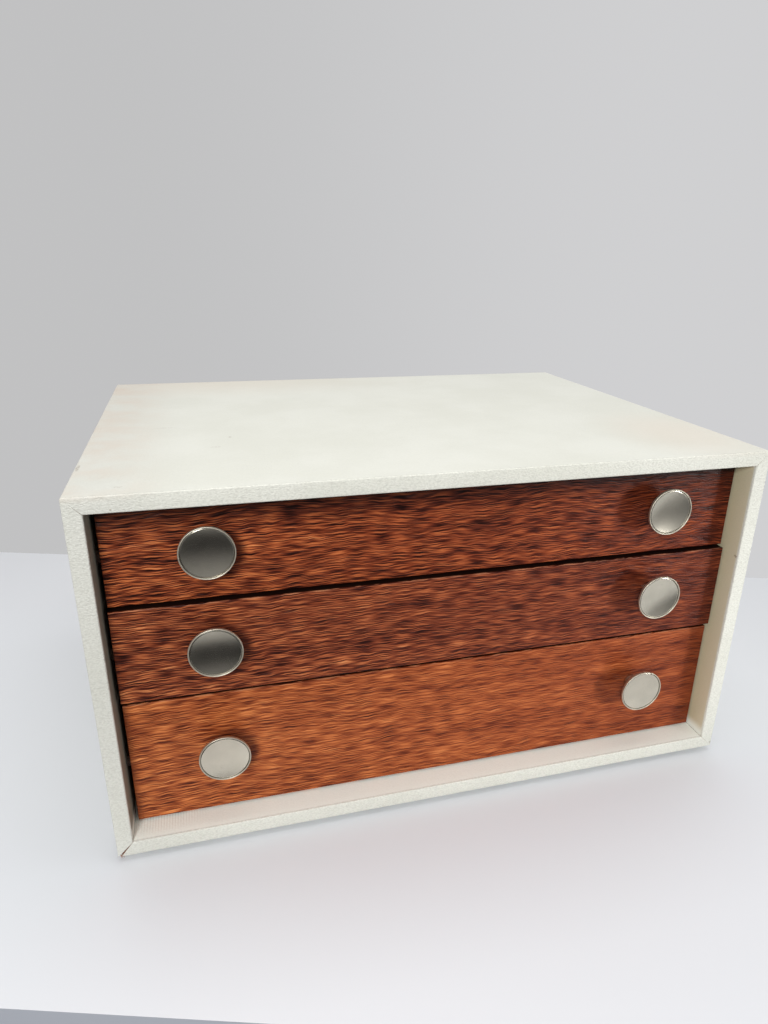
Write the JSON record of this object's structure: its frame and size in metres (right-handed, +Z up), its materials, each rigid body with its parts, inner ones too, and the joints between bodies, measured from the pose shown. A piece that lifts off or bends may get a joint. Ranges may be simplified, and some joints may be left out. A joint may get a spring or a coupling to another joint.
{
  "type": "cutlery chest",
  "caption": "Low box-shaped cutlery chest: mitred cloth-covered case, recessed dovetailed drawers on side runners, dished metal knobs",
  "frame": {"origin": "Middle of the chest's overall box, at the height of the feet's undersides.", "axes": "+X to the right as seen from the front, +Y towards the back (the drawers open towards -Y), +Z up."},
  "size_m": [0.44, 0.3384, 0.244],
  "materials": {
    "vinyl_cloth": "satin",
    "veneer": "satin",
    "satin_nickel": "satin",
    "baize": "matte",
    "foot_rubber": "matte",
    "steel": "satin",
    "hardwood": "satin",
    "plywood": "matte",
    "drawer_wood": "satin"
  },
  "bodies": {
    "case": {"case_top_panel": "vinyl_cloth", "case_bottom_panel": "vinyl_cloth", "case_left_panel": "vinyl_cloth", "case_right_panel": "vinyl_cloth", "case_back_panel": "plywood", "back_panel_pins": "steel", "runner_screws": "steel", "foot_pins": "steel", "front_left_foot": "foot_rubber", "front_right_foot": "foot_rubber", "rear_left_foot": "foot_rubber", "rear_right_foot": "foot_rubber", "top_left_runner": "hardwood", "top_right_runner": "hardwood", "middle_left_runner": "hardwood", "middle_right_runner": "hardwood", "bottom_left_runner": "hardwood", "bottom_right_runner": "hardwood"},
    "top_drawer": {"top_drawer_front": "veneer", "top_drawer_left_side": "drawer_wood", "top_drawer_right_side": "drawer_wood", "top_drawer_back": "drawer_wood", "top_drawer_bottom": "plywood", "top_drawer_lining": "baize", "top_drawer_left_knob_dish": "satin_nickel", "top_drawer_right_knob_dish": "satin_nickel", "top_drawer_left_knob_stem": "satin_nickel", "top_drawer_right_knob_stem": "satin_nickel", "top_drawer_knob_screws": "steel", "top_drawer_front_rack": "hardwood", "top_drawer_rear_rack": "hardwood"},
    "middle_drawer": {"middle_drawer_front": "veneer", "middle_drawer_left_side": "drawer_wood", "middle_drawer_right_side": "drawer_wood", "middle_drawer_back": "drawer_wood", "middle_drawer_bottom": "plywood", "middle_drawer_lining": "baize", "middle_drawer_left_knob_dish": "satin_nickel", "middle_drawer_right_knob_dish": "satin_nickel", "middle_drawer_left_knob_stem": "satin_nickel", "middle_drawer_right_knob_stem": "satin_nickel", "middle_drawer_knob_screws": "steel", "middle_drawer_front_rack": "hardwood", "middle_drawer_rear_rack": "hardwood"},
    "bottom_drawer": {"bottom_drawer_front": "veneer", "bottom_drawer_left_side": "drawer_wood", "bottom_drawer_right_side": "drawer_wood", "bottom_drawer_back": "drawer_wood", "bottom_drawer_bottom": "plywood", "bottom_drawer_lining": "baize", "bottom_drawer_left_knob_dish": "satin_nickel", "bottom_drawer_right_knob_dish": "satin_nickel", "bottom_drawer_left_knob_stem": "satin_nickel", "bottom_drawer_right_knob_stem": "satin_nickel", "bottom_drawer_knob_screws": "steel", "bottom_drawer_divider": "hardwood"}
  },
  "joints": [
    {"name": "top_drawer_slide", "type": "slide", "parent": "case", "child": "top_drawer", "axis": [0, -1, 0], "range_m": [0, 0.23]},
    {"name": "middle_drawer_slide", "type": "slide", "parent": "case", "child": "middle_drawer", "axis": [0, -1, 0], "range_m": [-0.003, 0.227]},
    {"name": "bottom_drawer_slide", "type": "slide", "parent": "case", "child": "bottom_drawer", "axis": [0, -1, 0], "range_m": [0, 0.23]}
  ]
}
